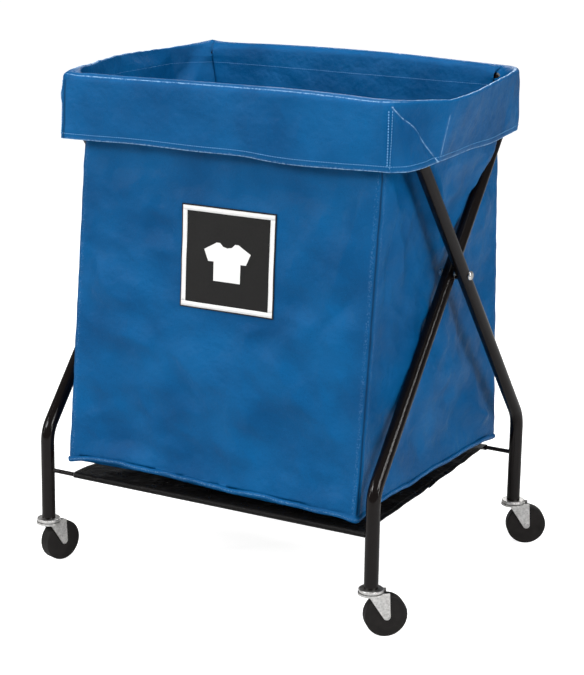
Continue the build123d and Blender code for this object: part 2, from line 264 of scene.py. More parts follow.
def side_places(count):
    """Places of a side's columns: with no count, FOLD_COLUMNS to the fold's end, then one at the middle."""
    if count:
        return np.linspace(0, 1, count + 1)[:-1]
    fold = np.linspace(0, FOLD_END, FOLD_COLUMNS + 1)[:-1]
    middle = np.linspace(FOLD_END, 0.5, 31)[:-1]
    return np.concatenate([fold, middle, np.linspace(0.5, 1, 59)[:-1]])


crest, fold_r, hem, neck, foot, side_of, place = [], [], [], [], [], [], []
for name, stations, start, end, count in SIDES:
    q = side_places(count)
    knots = [s[0] for s in stations]
    c = curve_through(knots, [s[1] for s in stations], q)
    crest.append(c)
    fold_r.append(curve_through(knots, [s[2] for s in stations], q)[:, 0])
    hem.append(curve_through(knots, [s[3] for s in stations], q))
    axis = 0 if name in ("front", "back") else 1
    first, last = stations[0][1][axis], stations[-1][1][axis]
    f = ((c[:, axis] - first) / (last - first))[:, None]
    neck.append(mix(np.array(NECK[start])[None], np.array(NECK[end])[None], f))
    foot.append(mix(np.array(FOOT[start])[None], np.array(FOOT[end])[None], f))
    side_of += [name] * len(q)
    place.append(q)
crest, hem, neck, foot = [np.vstack(a) for a in (crest, hem, neck, foot)]
fold_r, place = np.concatenate(fold_r), np.concatenate(place)
side_of = np.array(side_of)
columns = len(place)
corner_at = {start: int(np.argmax(side_of == name)) for name, _, start, _, _ in SIDES}
FOLDED_CORNERS = ("fr", "bl")
PLAIN_CORNERS = ("fl", "br")

step = np.linalg.norm(np.roll(neck, -1, 0) - neck, axis=1)
run = np.concatenate([[0.0], np.cumsum(step)[:-1]])
girth = step.sum()


def loop_out(loop, reach):
    """Outward unit vectors of a closed loop in plan, from the points reach columns to each side."""
    before = np.roll(loop, reach, 0)
    after = np.roll(loop, -reach, 0)
    return unit(np.stack([after[:, 1] - before[:, 1], before[:, 0] - after[:, 0]], 1))


def from_corner(name):
    """Signed distance round the neck from a corner, in mm."""
    d = run - run[corner_at[name]]
    return (d + girth / 2) % girth - girth / 2


corner_gap = np.min([np.abs(from_corner(n)) for n in corner_at], axis=0)


def round_corners(loop, passes, width):
    near = np.exp(-((corner_gap / width) ** 2))[:, None]
    return mix(loop, blur(loop, passes, True), near)


neck = round_corners(neck, 12, 32.0)
foot = round_corners(foot, 2, 12.0)
out_flat = unit(blur(loop_out(neck, 2), 3, True))
outward = np.hstack([out_flat, np.zeros((columns, 1))])
UP = np.array([0.0, 0.0, 1.0])

hub = crest - UP * fold_r[:, None]
# At each corner the inner half of the fold lies over the tube's bend.
BEND_INSET = 31.0
BEND_DROP = 22.0
at_bend = np.exp(-((corner_gap / 34.0) ** 2))
inner_r = mix(fold_r, np.full(columns, BEND_INSET), at_bend)
inner_drop = mix(fold_r, np.full(columns, BEND_DROP), at_bend)
inner_top = crest - UP * inner_drop[:, None] - outward * inner_r[:, None]
outer_top = hub + outward * fold_r[:, None]


# Between the legs, above the pivot, the side walls belly out towards the rim.
BELLY = [(pivot_z, bolt_low[0] - 1.2), (652.0, 320.0), (736.0, 345.0), (806.0, 357.0), (927.0, 380.0)]
# From a leg's middle to where the cloth leaves its inner side, by height.
BELLY_EDGE = [(640.0, 8.0), (720.0, 16.0), (812.0, 17.0), (824.0, 20.0)]
BELLY_TURN = 22.0
BELLY_BEHIND_HEM = 4.0


def belly(p):
    """Moves points of the side walls out to the belly where they are between the legs."""
    reach = np.interp(p[..., 2], [b[0] for b in BELLY], [b[1] for b in BELLY])
    rise = np.clip((p[..., 2] - HEM_Z) / (inner_top[:, 2] - HEM_Z), 0, 1)
    most = mix(np.abs(hem[:, 0]) - BELLY_BEHIND_HEM, np.abs(inner_top[:, 0]), rise)
    reach = np.minimum(reach, most)
    heights = [b[0] for b in BELLY_EDGE]
    edge = np.interp(p[..., 2], heights, [b[1] for b in BELLY_EDGE])
    room = (p[..., 2] - pivot_z) / leg_rise - edge - np.abs(p[..., 1])
    w = smooth(room / BELLY_TURN)
    wide = np.abs(p[..., 0])
    on_side = smooth((wide - 240.0) / 30.0)
    out = p.copy()
    out[..., 0] = np.sign(p[..., 0]) * np.maximum(wide, mix(wide, reach, w * on_side))
    return out


def inner_wall(z, inset):
    """The mouth's inner wall at heights z, from the neck up to the fold: rows by columns by 3."""
    rows = []
    for height in z:
        t = np.clip((height - NECK_Z) / (inner_top[:, 2] - NECK_Z), 0, 1)[:, None]
        p = belly(np.hstack([mix(neck, inner_top[:, :2], t), np.full((columns, 1), height)]))
        shift = clear_of_tubes(p, -outward, FABRIC_GAP)
        shift = np.maximum(shift, blur(shift[:, None], 10, True)[:, 0])
        rows.append(p - outward * (shift + inset)[:, None])
    return np.array(rows)


def facet_fold(a_top, b_top, b_foot, hem_line, t):
    """A corner's flap: a flat facet above the diagonal from a_top to b_foot, and a cone below it."""
    n = len(hem_line) - 1
    s = np.arange(n + 1) / n
    p = np.zeros((len(t), n + 1, 3))
    for j, down in enumerate(t):
        for i, along in enumerate(s):
            if down <= along:
                p[j, i] = a_top * (1 - along) + b_top * (along - down) + b_foot * down
            else:
                k = along / down * n
                low = int(min(k, n - 1))
                p[j, i] = a_top * (1 - down) + down * mix(hem_line[low], hem_line[low + 1], k - low)
    return p


# ---- meshes
def make_mesh(name, verts, faces, materials, face_material=None, attributes=None, vectors=None):
    mesh = bpy.data.meshes.new(name)
    corners = [tuple(int(i) for i in f) for f in faces]
    mesh.from_pydata([tuple(v) for v in np.array(verts) * MM], [], corners)
    for m in materials:
        mesh.materials.append(m)
    if face_material is not None:
        mesh.polygons.foreach_set("material_index", np.array(face_material, np.int32))
    for key, values in (attributes or {}).items():
        layer = mesh.attributes.new(key, "FLOAT", "POINT")
        layer.data.foreach_set("value", np.array(values, np.float32))
    for key, values in (vectors or {}).items():
        layer = mesh.attributes.new(key, "FLOAT_VECTOR", "POINT")
        layer.data.foreach_set("vector", np.array(values, np.float32).ravel())
    mesh.polygons.foreach_set("use_smooth", np.ones(len(mesh.polygons), bool))
    mesh.update()
    obj = bpy.data.objects.new(name, mesh)
    bpy.context.scene.collection.objects.link(obj)
    return obj


def grid_faces(rows, cols, closed, triangles=None, start=0):
    """Quads of a rows by cols grid, or two triangles where triangles(row, col) is true."""
    faces = []
    for r in range(rows - 1):
        for c in range(cols if closed else cols - 1):
            d = (c + 1) % cols
            above = start + r * cols
            below = above + cols
            a, b, e, f = above + c, above + d, below + d, below + c
            if triangles and triangles(r, c):
                faces += [(a, f, e), (a, e, b)]
            else:
                faces.append((a, f, e, b))
    return faces


def grid_normals(p, closed):
    """Outward unit normals of a grid whose columns run anticlockwise and rows run down or up."""
    across = (np.roll(p, -1, 1) - np.roll(p, 1, 1)) if closed else np.gradient(p, axis=1)
    return unit(np.cross(across, np.gradient(p, axis=0)))


class Thread:
    """Collects stitches: little spindles of thread that lie along a line on the fabric."""

    def __init__(self):
        self.verts, self.faces, self.count = [], [], 0

    def stitch(self, a, b, normal, radius):
        along = unit(b - a)
        side = unit(np.cross(along, normal))
        ring = [side, normal, -side, -normal * 0.4]
        middle = (a + b) / 2
        base = self.count
        ends = [a - normal * 0.3 * radius, b - normal * 0.3 * radius]
        third = [mix(a, middle, 0.35), mix(b, middle, 0.35)]
        rings = [[t + r * radius for r in ring] for t in third]
        self.verts += [ends[0]] + rings[0] + rings[1] + [ends[1]]
        for k in range(4):
            m = (k + 1) % 4
            self.faces.append((base, base + 1 + m, base + 1 + k))
            self.faces.append((base + 1 + k, base + 1 + m, base + 5 + m, base + 5 + k))
            self.faces.append((base + 9, base + 5 + k, base + 5 + m))
        self.count += 10

    def line(self, points, normals, pitch=4.6, cover=0.74, radius=0.55, lift=0.45):
        points, normals = np.array(points), np.array(normals)
        gaps = np.linalg.norm(np.diff(points, axis=0), axis=1)
        total = np.concatenate([[0.0], np.cumsum(gaps)])
        at = np.arange(pitch / 2, total[-1] - pitch / 2, pitch)
        for d in at:
            ends = []
            for e in (d - pitch * cover / 2, d + pitch * cover / 2):
                ends.append(np.array([np.interp(e, total, points[:, k]) for k in range(3)]))
            n = unit(np.array([np.interp(d, total, normals[:, k]) for k in range(3)]))
            self.stitch(ends[0] + n * lift, ends[1] + n * lift, n, radius)


def stitched_mesh(name, grid, faces, thread, looks, wear_and_highlight, groove_shade_and_dirt):
    """A fabric grid and its stitches as one object, with the attributes that its material reads."""
    verts = grid.reshape(-1, 3)
    stitches = [tuple(i + len(verts) for i in f) for f in thread.faces]
    everything = np.vstack([verts, np.array(thread.verts)])
    bare = np.zeros(thread.count)
    return make_mesh(
        name,
        everything,
        faces + stitches,
        looks,
        [0] * len(faces) + [1] * len(stitches),
        {"wear_and_highlight": np.concatenate([wear_and_highlight.ravel(), bare]), "groove_shade_and_dirt": np.concatenate([groove_shade_and_dirt.ravel(), bare])},
        {"rest": everything * MM},
    )


# ---- materials
def new_material(name):
    m = bpy.data.materials.new(name)
    m.use_nodes = True
    tree = m.node_tree
    return m, tree, tree.nodes["Principled BSDF"]


def add_node(tree, kind, **values):
    node = tree.nodes.new(kind)
    for key, value in values.items():
        if key in node.inputs:
            node.inputs[key].default_value = value
        else:
            setattr(node, key, value)
    return node


def maths(tree, operation, a, b=None, clamp=False):
    node = tree.nodes.new("ShaderNodeMath")
    node.operation, node.use_clamp = operation, clamp
    for k, value in enumerate((a, b)):
        if value is None:
            continue
        if isinstance(value, (int, float)):
            node.inputs[k].default_value = value
        else:
            tree.links.new(value, node.inputs[k])
    return node.outputs[0]


def ramp(tree, value, low, high, out_low=0.0, out_high=1.0):
    node = tree.nodes.new("ShaderNodeMapRange")
    node.inputs["From Min"].default_value, node.inputs["From Max"].default_value = low, high
    node.inputs["To Min"].default_value, node.inputs["To Max"].default_value = out_low, out_high
    tree.links.new(value, node.inputs["Value"])
    return node.outputs[0]


def blend_colour(tree, factor, a, b):
    node = tree.nodes.new("ShaderNodeMix")
    node.data_type = "RGBA"
    for socket, value in ((node.inputs[0], factor), (node.inputs[6], a), (node.inputs[7], b)):
        if isinstance(value, (float, int)):
            socket.default_value = value
        elif isinstance(value, tuple):
            socket.default_value = (*value, 1.0)
        else:
            tree.links.new(value, socket)
    return node.outputs[2]


def rest_place(tree, attribute):
    """Texture space: a stored rest position where the piece bends, or the object's own space."""
    if attribute:
        return add_node(tree, "ShaderNodeAttribute", attribute_name="rest").outputs["Vector"]
    return add_node(tree, "ShaderNodeTexCoord").outputs["Object"]


def noise_at(tree, place_socket, scale, detail=3.0, roughness=0.5):
    node = add_node(tree, "ShaderNodeTexNoise", Scale=scale, Detail=detail, Roughness=roughness)
    tree.links.new(place_socket, node.inputs["Vector"])
    return node.outputs["Fac"]


def paint(tree, shader, factor, a, b):
    tree.links.new(blend_colour(tree, factor, a, b), shader.inputs["Base Color"])


def polish(tree, shader, value, low, high):
    tree.links.new(ramp(tree, value, 0.3, 0.7, low, high), shader.inputs["Roughness"])


def bump_from(tree, shader, height, distance, strength=1.0, after=None):
    node = add_node(tree, "ShaderNodeBump", Strength=strength, Distance=distance)
    tree.links.new(height, node.inputs["Height"])
    if after is not None:
        tree.links.new(after, node.inputs["Normal"])
    tree.links.new(node.outputs[0], shader.inputs["Normal"])
    return node.outputs[0]


BLUE = (0.0014, 0.078, 0.225)
BLUE_LIGHT = (0.0032, 0.120, 0.325)
BLUE_DARK = (0.0007, 0.046, 0.145)
# Pale blue for creases: crease whitening, and also painted highlight along the cuff's crest and hem.
WORN_AND_HIGHLIT = (0.34, 0.55, 0.80)
BLACK = (0.0065, 0.0060, 0.0060)
BLACK_LIGHT = (0.012, 0.011, 0.011)
BLACK_DARK = (0.004, 0.004, 0.004)
# Pale grey for the sling: edge wear, and also painted highlight along its edges.
BLACK_WORN_AND_HIGHLIT = (0.14, 0.14, 0.14)


WEAVE_PITCH = 0.0016


def vinyl_material(name, base, light, dark, roughness, worn_and_highlit):
    """Vinyl-coated cloth: a fine weave under the coat, paler along creases where crease wear and painted
    highlights are both drawn, and darker along seam grooves as painted shade with some dirt.
    """
    m, tree, shader = new_material(name)
    at = rest_place(tree, True)
    broad = noise_at(tree, at, 9.0, 2.0)
    speck = noise_at(tree, at, 620.0, 2.0, 0.7)
    colour = blend_colour(tree, ramp(tree, broad, 0.32, 0.68), dark, light)
    colour = blend_colour(tree, 0.55, colour, base)
    colour = blend_colour(tree, ramp(tree, speck, 0.30, 0.46, 0.45, 0.0), colour, dark)
    colour = blend_colour(tree, ramp(tree, speck, 0.56, 0.72, 0.0, 0.40), colour, light)
    # The pale colour is mixed in along this mark, which carries both crease wear and painted highlight lines.
    wear_and_highlight = add_node(tree, "ShaderNodeAttribute", attribute_name="wear_and_highlight").outputs["Fac"]
    scuff = noise_at(tree, at, 170.0, 3.0, 0.7)
    line = maths(tree, "MULTIPLY", ramp(tree, wear_and_highlight, 0.62, 0.92), ramp(tree, scuff, 0.36, 0.60), True)
    scratch = ramp(tree, noise_at(tree, at, 420.0, 2.0), 0.52, 0.66)
    halo = maths(tree, "MULTIPLY", ramp(tree, wear_and_highlight, 0.05, 0.8), scratch, True)
    colour = blend_colour(tree, maths(tree, "MULTIPLY", halo, 0.30), colour, worn_and_highlit)
    colour = blend_colour(tree, line, colour, worn_and_highlit)
    # Darker seam lines: painted shade in the seam grooves, with some dirt.
    groove_shade_and_dirt = add_node(tree, "ShaderNodeAttribute", attribute_name="groove_shade_and_dirt").outputs["Fac"]
    paint(tree, shader, ramp(tree, groove_shade_and_dirt, 0.35, 0.9, 0.0, 0.8), colour, tuple(0.35 * c for c in dark))
    sheen = noise_at(tree, at, 34.0, 4.0, 0.6)
    polish(tree, shader, sheen, roughness - 0.07, roughness + 0.09)
    shader.inputs["Specular IOR Level"].default_value = 0.08
    split = add_node(tree, "ShaderNodeSeparateXYZ")
    tree.links.new(at, split.inputs[0])
    level = maths(tree, "ADD", split.outputs[0], split.outputs[1])
    warp = maths(tree, "SINE", maths(tree, "MULTIPLY", level, 2 * math.pi / WEAVE_PITCH))
    weft = maths(tree, "SINE", maths(tree, "MULTIPLY", split.outputs[2], 2 * math.pi / WEAVE_PITCH))
    cloth = maths(tree, "MULTIPLY", warp, weft)
    first = bump_from(tree, shader, cloth, 0.00010, 0.7)
    pucker = noise_at(tree, at, 95.0, 3.0, 0.55)
    second = bump_from(tree, shader, pucker, 0.0018, 0.6, first)
    slack = noise_at(tree, at, 15.0, 3.0, 0.55)
    bump_from(tree, shader, slack, 0.0110, 0.55, second)
    return m


def coat_material(name, low, high, tint, gloss, bump, specular=0.5, spread=None, bends=False):
    """A plain coat. The tint is a noise; gloss and bump are a noise and its effect each."""
    m, tree, shader = new_material(name)
    at = rest_place(tree, bends)
    shade = noise_at(tree, at, *tint)
    paint(tree, shader, ramp(tree, shade, *spread) if spread else shade, low, high)
    polish(tree, shader, noise_at(tree, at, *gloss[0]), *gloss[1])
    shader.inputs["Specular IOR Level"].default_value = specular
    bump_from(tree, shader, noise_at(tree, at, *bump[0]), *bump[1])
    return m


def thread_material(name, low, high):
    twist = (900.0, 2.0)
    return coat_material(
        name, low, high, twist, (twist, (0.55, 0.55)), (twist, (0.0003, 0.6)), spread=(0.3, 0.7), bends=True
    )


def print_material(name, low, high, dull):
    """Screen-printed film with a faint cloth texture under it."""
    film = ((60.0, 3.0), (dull - 0.06, dull + 0.08))
    return coat_material(name, low, high, (240.0, 3.0), film, ((640.0, 2.0), (0.0002, 0.4)), 0.15, bends=True)


def zinc_material(name, low, high, roughness):
    m, tree, shader = new_material(name)
    at = rest_place(tree, False)
    spangle = add_node(tree, "ShaderNodeTexVoronoi", Scale=260.0)
    tree.links.new(at, spangle.inputs["Vector"])
    grain = noise_at(tree, at, 130.0, 5.0, 0.65)
    spangled = maths(tree, "MULTIPLY", spangle.outputs["Distance"], 0.35)
    both = maths(tree, "ADD", spangled, maths(tree, "MULTIPLY", grain, 0.65))
    paint(tree, shader, ramp(tree, both, 0.25, 0.65), low, high)
    shader.inputs["Metallic"].default_value = 1.0
    polish(tree, shader, grain, roughness - 0.08, roughness + 0.12)
    bump_from(tree, shader, grain, 0.0004, 0.25)
    return m


bag_vinyl = vinyl_material("bag_vinyl", BLUE, BLUE_LIGHT, BLUE_DARK, 0.40, WORN_AND_HIGHLIT)
sling_vinyl = vinyl_material("sling_vinyl", BLACK, BLACK_LIGHT, BLACK_DARK, 0.30, BLACK_WORN_AND_HIGHLIT)
bag_thread = thread_material("bag_thread", (0.11, 0.30, 0.53), (0.165, 0.45, 0.795))
sling_thread = thread_material("sling_thread", (0.045, 0.043, 0.042), (0.0675, 0.0645, 0.063))
enamel = coat_material(
    "frame_enamel",
    (0.0036, 0.0024, 0.0022),
    (0.0072, 0.0050, 0.0046),
    (26.0, 3.0),
    ((60.0, 4.0, 0.6), (0.09, 0.17)),
    ((240.0, 2.0), (0.00035, 0.35)),
    0.2,
)
zinc = zinc_material("caster_zinc", (0.42, 0.41, 0.40), (0.72, 0.71, 0.69), 0.34)
bolt_zinc = zinc_material("fastener_zinc", (0.50, 0.49, 0.47), (0.80, 0.78, 0.74), 0.28)
bearing = zinc_material("bearing_steel", (0.35, 0.35, 0.36), (0.62, 0.62, 0.63), 0.22)
DUST = (70.0, 5.0, 0.65)
rubber = coat_material(
    "wheel_rubber",
    (0.0062, 0.0052, 0.0048),
    (0.0150, 0.0130, 0.0120),
    DUST,
    (DUST, (0.50, 0.68)),
    ((520.0, 3.0), (0.0005, 0.4)),
    0.2,
    (0.35, 0.72),
)
MOTTLE = (180.0, 3.0)
nylon = coat_material(
    "plug_nylon",
    (0.010, 0.010, 0.011),
    (0.019, 0.019, 0.020),
    MOTTLE,
    (MOTTLE, (0.42, 0.55)),
    (MOTTLE, (0.0003, 0.3)),
)
label_black = print_material("label_black", (0.0100, 0.0098, 0.0096), (0.0160, 0.0155, 0.0150), 0.46)
label_white = print_material("label_white", (0.78, 0.78, 0.77), (0.88, 0.88, 0.87), 0.48)

NODE_LOOKS = [
    ("foot_frame", enamel, "frame_enamel"),
    ("shelf_rod", enamel, "frame_enamel"),
    ("pivot_", bolt_zinc, "fastener_zinc"),
    ("caster_wheel", rubber, "wheel_rubber"),
    ("caster_bush", nylon, "plug_nylon"),
    ("caster_socket", nylon, "plug_nylon"),
    ("caster_balls", bearing, "bearing_steel"),
    ("caster_axle", zinc, "caster_zinc"),
    ("caster_yoke", zinc, "caster_zinc"),
    ("caster_stem", zinc, "caster_zinc"),
]
for name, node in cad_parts.items():
    for part, material, slot_name in NODE_LOOKS:
        if part in name:
            node.data.materials.clear()
            node.data.materials.append(material)

# ---- the folded cuff
OUTER_ROWS = FOLD_COLUMNS + 1
down = np.linspace(0, 1, OUTER_ROWS)
liner_z = np.linspace(LINER_FOOT_Z, 910.0, 15)
liner = inner_wall(liner_z, 0.0)
arc = []
MOST_ARC_LIFT = 12.0
for a in np.linspace(math.radians(4), math.radians(176), 13):
    if a < math.pi / 2:
        sideways = inner_r * math.cos(a)
        upwards = -inner_drop * (1 - math.sin(a))
        arc.append(crest - outward * sideways[:, None] + UP * upwards[:, None])
    else:
        sideways = fold_r * math.cos(a)
        upwards = fold_r * math.sin(a)
        arc.append(hub - outward * sideways[:, None] + UP * upwards[:, None])
    off = UP * math.sin(a) - outward * math.cos(a)
    lift = np.minimum(clear_of_tubes(arc[-1], off, FABRIC_GAP), MOST_ARC_LIFT)
    lift = np.maximum(lift, blur(lift[:, None], 6, True)[:, 0])
    arc[-1] = arc[-1] + off * lift[:, None]
arc = np.array(arc)
outer = outer_top[None] * (1 - down)[:, None, None] + hem[None] * down[:, None, None]
for corner in FOLDED_CORNERS:
    i = corner_at[corner]
    end = i + FOLD_COLUMNS
    span = np.arange(i, end + 1)
    chord = mix(outer_top[i][None], outer_top[end][None], ((span - i) / FOLD_COLUMNS)[:, None])
    arc[:, span] += (chord - outer_top[span])[None]
    outer_top[span] = chord
    outer[:, span] = facet_fold(outer_top[i], outer_top[end], hem[end], hem[span], down)
outer = outer[1:]

spots = outer.reshape(-1, 3)
push = np.tile(outward, (len(outer), 1))
shift = clear_of_tubes(spots, push, FABRIC_GAP).reshape(len(outer), columns)
soft = blur(shift.T, 8, True).T
soft = blur(soft, 3, False)
shift = np.maximum(shift, soft)
outer = outer + outward[None] * shift[..., None]

# Soft waves in the cuff, none at its crest, and none where the diagonal folds are drawn tight.
depth = down[1:]
FOLD_MIDDLE = 60.0  # from the corner to the middle of its diagonal fold
fold_gap = np.min([np.abs(from_corner(n) - FOLD_MIDDLE) for n in FOLDED_CORNERS], axis=0)
tight = np.exp(-((fold_gap / 70.0) ** 2))
wave = field(outer.reshape(-1, 3), 150.0, 3.0).reshape(len(outer), columns)
ripple = field(outer.reshape(-1, 3) * np.array([1, 1, 0.6]), 48.0, 5.0).reshape(len(outer), columns)
bulge = 5.2 * wave * np.sin(np.pi * np.clip(depth, 0, 1) * 0.75)[:, None]
bulge = bulge + 1.5 * ripple * smooth(depth / 0.2)[:, None]
bulge = bulge * (1 - 0.65 * tight)[None]
outer = outer + outward[None] * np.maximum(bulge, -0.8 * (shift < 0.1))[..., None]

# The hem is turned in: a small round edge and a second layer behind it.
HEM_R = 1.1
HEM_DEPTH = 12.0
edge = outer[-1]
turned = []
for a in (45, 90, 135, 180):
    w = math.radians(a)
    turned.append(edge - outward * HEM_R * (1 - math.cos(w)) - UP * HEM_R * math.sin(w))
turned.append(turned[-1] + UP * HEM_DEPTH)
turned = np.array(turned)

cuff = np.concatenate([liner, arc, outer, turned])
crest_row = len(liner) + len(arc) // 2
outer_row = len(liner) + len(arc)
hem_row = outer_row + len(outer) - 1
cuff_rows = len(cuff)
crumple = field(cuff.reshape(-1, 3), 30.0, 11.0).reshape(cuff_rows, columns)
near_crest = np.exp(-((np.arange(cuff_rows) - crest_row) / 6.0) ** 2)
on_sides = smooth((12.0 - fold_r) / 8.0)
cuff[..., 2] += 1.6 * crumple * near_crest[:, None] * on_sides[None]
cuff_normal = -grid_normals(cuff, True)
# Pale lines: painted highlight along the crest and the hem, and crease wear along the diagonal folds.
cuff_wear_and_highlight = np.zeros((cuff_rows, columns))
cuff_wear_and_highlight[crest_row + 3] = mix(0.9, 0.3, on_sides)
cuff_wear_and_highlight[crest_row + 1] = mix(0.35, 0.95, on_sides)
cuff_wear_and_highlight[crest_row] = mix(0.45, 0.98, on_sides)
cuff_wear_and_highlight[crest_row - 1] = mix(0.2, 0.9, on_sides)
cuff_wear_and_highlight[crest_row - 2] = mix(0.0, 0.6, on_sides)
cuff_wear_and_highlight[hem_row + 1] = 0.95
cuff_wear_and_highlight[hem_row] = 0.8
# Dark lines down the cuff's corner seams: painted shade in the grooves, with some dirt.
cuff_groove_shade_and_dirt = np.zeros((cuff_rows, columns))
for corner in FOLDED_CORNERS:
    i = corner_at[corner]
    for k in range(FOLD_COLUMNS + 1):
        cuff_wear_and_highlight[min(outer_row - 1 + k, hem_row), i + k] = 0.95
    cuff_wear_and_highlight[outer_row + 5 : hem_row - 1, i + FOLD_COLUMNS + 1] = 0.85
    cuff_groove_shade_and_dirt[outer_row : hem_row + 1, i] = 0.45
for corner in PLAIN_CORNERS:
    cuff_groove_shade_and_dirt[outer_row : hem_row + 1, corner_at[corner] + 1] = 0.9


def tight_corner(r, c):
    """True where the diagonal fold needs triangles along it."""
    in_fold = any(corner_at[n] <= c < corner_at[n] + FOLD_COLUMNS for n in FOLDED_CORNERS)
    return in_fold and outer_row - 1 <= r < hem_row


def columns_of(piece):
    """The columns with y on this piece's side of the middle, in order, both split columns included."""
    right_middle = int(np.argmax((side_of == "right") & (place >= 0.5)))
    left_middle = int(np.argmax((side_of == "left") & (place >= 0.5)))
    if piece == "rear":
        return np.arange(right_middle, left_middle + 1)
    return np.concatenate([np.arange(left_middle, columns), np.arange(0, right_middle + 1)])


def cuff_stitches(keep):
    """A row along the hem, two up each folded corner's seam and one up each plain corner's."""
    thread = Thread()
    thread.line(cuff[hem_row - 2, keep], cuff_normal[hem_row - 2, keep], radius=0.55)
    rows = np.arange(outer_row, hem_row)
    lines = [(corner_at[n] - 1, 0.95) for n in FOLDED_CORNERS if corner_at[n] in keep]
    lines += [(corner_at[n], 0.55) for n in FOLDED_CORNERS if corner_at[n] in keep]
    lines += [(corner_at[n], 0.8) for n in PLAIN_CORNERS if corner_at[n] in keep]
    for c, radius in lines:
        thread.line(cuff[rows, c], cuff_normal[rows, c], radius=radius)
    return thread


def cuff_piece(piece):
    keep = columns_of(piece)
    faces = grid_faces(cuff_rows, len(keep), False, lambda r, c: tight_corner(r, keep[c]))
    thread = cuff_stitches(keep)
    looks = [bag_vinyl, bag_thread]
    obj = stitched_mesh(
        "bag_cuff_" + piece, cuff[:, keep], faces, thread, looks, cuff_wear_and_highlight[:, keep], cuff_groove_shade_and_dirt[:, keep]
    )
    return obj


cuff_front = cuff_piece("front")
cuff_rear = cuff_piece("rear")

# ---- the bag's body
EDGE_R = 5.0
wall_z = np.linspace(FLOOR_Z + 14.0, NECK_Z, 96)
upper_z = np.linspace(NECK_Z, BODY_TOP_Z, 19)[1:]
walls = []
for height in wall_z:
    t = (height - FLOOR_Z) / (NECK_Z - FLOOR_Z)
    walls.append(np.hstack([mix(foot, neck, t), np.full((columns, 1), height)]))
walls = np.concatenate([belly(np.array(walls)), inner_wall(upper_z, 0.9)])
all_z = np.concatenate([wall_z, upper_z])
foot_out = unit(blur(loop_out(foot, 1), 1, True))
along_up = smooth((all_z - FLOOR_Z) / (NECK_Z - FLOOR_Z))
wall_out = unit(mix(foot_out[None], out_flat[None], along_up[:, None, None]))
wall_out = np.concatenate([wall_out, np.zeros((len(all_z), columns, 1))], 2)


def ridge(where, height, a, b, width, rise, sharp=1.0):
    """A crease's height over a side, at distances where along it; its ends are a and b, as (along, z)."""
    ax, az, bx, bz = a[0], a[1], b[0], b[1]
    dx, dz = bx - ax, bz - az
    long = dx * dx + dz * dz
    t = np.clip(((where - ax) * dx + (height - az) * dz) / long, 0, 1)
    away = np.hypot(where - ax - dx * t, height - az - dz * t)
    ends = smooth(np.minimum(t, 1 - t) / 0.25 + 0.15)
    return rise * ends * np.exp(-((away / width) ** sharp))


# Folds that the cloth has taken, as (side, start, end, width, rise, sharpness). Along is x on the
# front and back, and y on the right and left.
FOLDS = [
    ("front", (-262, 640), (-285, 560), 16, -4.0, 1.2),
    ("front", (-255, 690), (-292, 585), 12, 3.0, 1.2),
    ("front", (-250, 610), (-180, 440), 40, 4.5, 1.6),
    ("front", (-200, 470), (-120, 450), 14, 2.0, 1.2),
    ("front", (250, 800), (110, 560), 26, 3.4, 1.4),
    ("front", (290, 800), (215, 520), 18, 3.6, 1.2),
    ("front", (305, 640), (190, 500), 22, -3.2, 1.2),
    ("front", (200, 560), (60, 330), 46, 4.2, 1.6),
    ("front", (60, 430), (240, 270), 34, -4.0, 1.4),
    ("front", (150, 420), (270, 330), 24, 3.4, 1.4),
    ("front", (-140, 330), (-60, 230), 40, 3.2, 1.6),
    ("front", (-260, 780), (-120, 700), 40, 3.2, 1.6),
    ("front", (0, 790), (40, 740), 30, 2.6, 1.6),
    ("right", (-232, 800), (-150, 600), 18, 4.6, 1.2),
    ("right", (-205, 790), (-215, 560), 16, -3.4, 1.2),
    ("right", (-150, 800), (-60, 640), 22, 3.6, 1.3),
    ("right", (0, 600), (-200, 330), 26, 4.4, 1.3),
    ("right", (0, 600), (-110, 250), 40, -4.0, 1.5),
    ("right", (0, 560), (150, 330), 34, 5.0, 1.4),
    ("right", (10, 600), (235, 420), 20, 4.2, 1.2),
    ("right", (0, 640), (220, 700), 26, 3.6, 1.4),
    ("right", (60, 760), (190, 560), 24, -3.4, 1.3),
    ("right", (120, 330), (250, 250), 26, 4.6, 1.3),
    ("right", (-50, 400), (130, 380), 36, 4.2, 1.6),
    ("right", (60, 300), (200, 215), 30, -4.6, 1.4),
    ("back", (200, 780), (60, 560), 30, 4.0, 1.4),
    ("back", (-250, 760), (-120, 500), 34, -4.2, 1.4),
    ("back", (-30, 600), (150, 330), 40, 4.5, 1.6),
    ("back", (-220, 420), (-40, 260), 34, 4.0, 1.5),
    ("back", (240, 480), (280, 300), 20, 3.6, 1.3),
    ("left", (-210, 800), (-110, 610), 20, 4.2, 1.2),
    ("left", (0, 600), (190, 340), 28, 4.6, 1.3),
    ("left", (0, 600), (-180, 380), 32, 4.6, 1.4),
    ("left", (180, 790), (90, 620), 22, -3.6, 1.3),
    ("left", (-60, 420), (120, 360), 36, 4.4, 1.6),
]
along_axis = {"front": 0, "back": 0, "right": 1, "left": 1}
heights = np.tile(all_z[:, None], (1, columns))
drift = np.zeros((len(all_z), columns))
for side, a, b, width, rise, sharp in FOLDS:
    crease = ridge(walls[..., along_axis[side]], heights, a, b, width, rise, sharp)
    drift += np.where(side_of[None] == side, crease, 0.0)
spots = walls.reshape(-1, 3)
big = field(spots * np.array([1, 1, 0.8]), 210.0, 1.0, 0.45, 3).reshape(len(all_z), columns)
tilted = np.stack([spots[:, 0] + 0.45 * spots[:, 2], spots[:, 1] + 0.4 * spots[:, 2], spots[:, 2]], 1)
medium = np.abs(field(tilted, 95.0, 2.0, 0.4, 2)).reshape(len(all_z), columns)
crushed = facets(tilted, 115.0, 4.0).reshape(len(all_z), columns)
